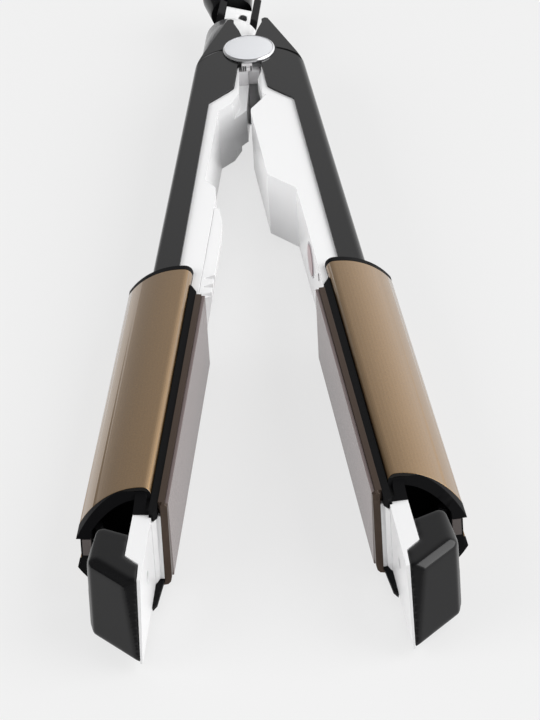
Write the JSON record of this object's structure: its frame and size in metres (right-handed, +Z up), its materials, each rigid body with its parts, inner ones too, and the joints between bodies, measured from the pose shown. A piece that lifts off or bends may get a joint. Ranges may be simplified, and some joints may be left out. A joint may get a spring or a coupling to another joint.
{
  "type": "hair straightener",
  "caption": "V-shaped hair straightener: hinged black and white arms, gold barrel covers, dark plates, lock slider, power button and swivelling cord end.",
  "frame": {"origin": "centre of the whole part's bounding box in X and Y, on the surface that it lies on", "axes": "+Y from the tips back towards the cord end, +X towards the right arm, +Z up along the hinge pin"},
  "size_m": [0.1064, 0.3544, 0.0278],
  "materials": {
    "black_gloss": "polished black moulding",
    "white_gloss": "polished white moulding",
    "gold_cover": "satin gold-brown lacquer with a fine metallic grain",
    "black_matte": "fine matte heat-resistant plastic",
    "brown_channel": "brown anodised aluminium",
    "plate_face": "smooth grey ceramic coat",
    "steel": "bright steel",
    "silicone": "red-brown silicone",
    "grey_plastic": "light grey moulding",
    "red_button": "grey button with a dull red middle",
    "lamp": "dark unlit lamp lens",
    "board": "green circuit board"
  },
  "bodies": {
    "left_arm": {"left_outer_shell": "black_gloss", "left_inner_shell": "white_gloss", "left_cover_upper": "gold_cover", "left_cover_lower": "gold_cover", "left_liner": "black_matte", "left_insulator": "black_matte", "left_channel": "brown_channel", "left_plate": "plate_face", "left_heater": "steel", "left_heater_pads": "silicone", "left_end_block": "white_gloss", "left_tip_liner": "white_gloss", "left_tip_cap": "black_gloss", "left_tip_screw": "steel", "hinge_pin": "steel", "hinge_disc_top": "white_gloss", "hinge_disc_bottom": "white_gloss", "closing_spring": "steel", "spring_cover": "grey_plastic", "cord_collar": "white_gloss"},
    "right_arm": {"right_outer_shell": "black_gloss", "right_inner_shell": "white_gloss", "right_cover_upper": "gold_cover", "right_cover_lower": "gold_cover", "right_liner": "black_matte", "right_insulator": "black_matte", "right_channel": "brown_channel", "right_plate": "plate_face", "right_heater": "steel", "right_heater_pads": "silicone", "right_end_block": "white_gloss", "right_tip_liner": "white_gloss", "right_tip_cap": "black_gloss", "right_tip_screw": "steel", "power_bezel": "grey_plastic", "indicator_lamp": "lamp", "circuit_board": "board"},
    "power_button": {"power_button": "red_button"},
    "lock_slider": {"lock_slider": "white_gloss"},
    "swivel": {"swivel_tongue": "white_gloss", "pivot_pin": "steel"},
    "cord_housing": {"cord_housing": "black_gloss"}
  },
  "joints": [
    {"name": "arm_hinge", "type": "hinge", "parent": "left_arm", "child": "right_arm", "pos_m": [0, 0.10933, 0.0139], "axis": [0, 0, 1], "range_deg": [-12.5, 0], "stiffness_Nm_per_rad": 2, "springref_deg": 5.73},
    {"name": "lock_slide", "type": "slide", "parent": "left_arm", "child": "lock_slider", "axis": [0.1101, 0.9939, 0], "range_m": [0, 0.005]},
    {"name": "power_push", "type": "slide", "parent": "right_arm", "child": "power_button", "axis": [0.9939, 0.1101, 0], "range_m": [0, 0.0008], "stiffness_N_per_m": 2000, "springref_m": -0.0005},
    {"name": "swivel_spin", "type": "hinge", "parent": "left_arm", "child": "swivel", "pos_m": [-0.00865, 0.11028, 0.0139], "axis": [0.1101, 0.9939, 0], "continuous": true},
    {"name": "cord_tilt", "type": "hinge", "parent": "swivel", "child": "cord_housing", "pos_m": [-0.00468, 0.14607, 0.0139], "axis": [0.9684, -0.1073, -0.225], "range_deg": [-50, 55]}
  ]
}
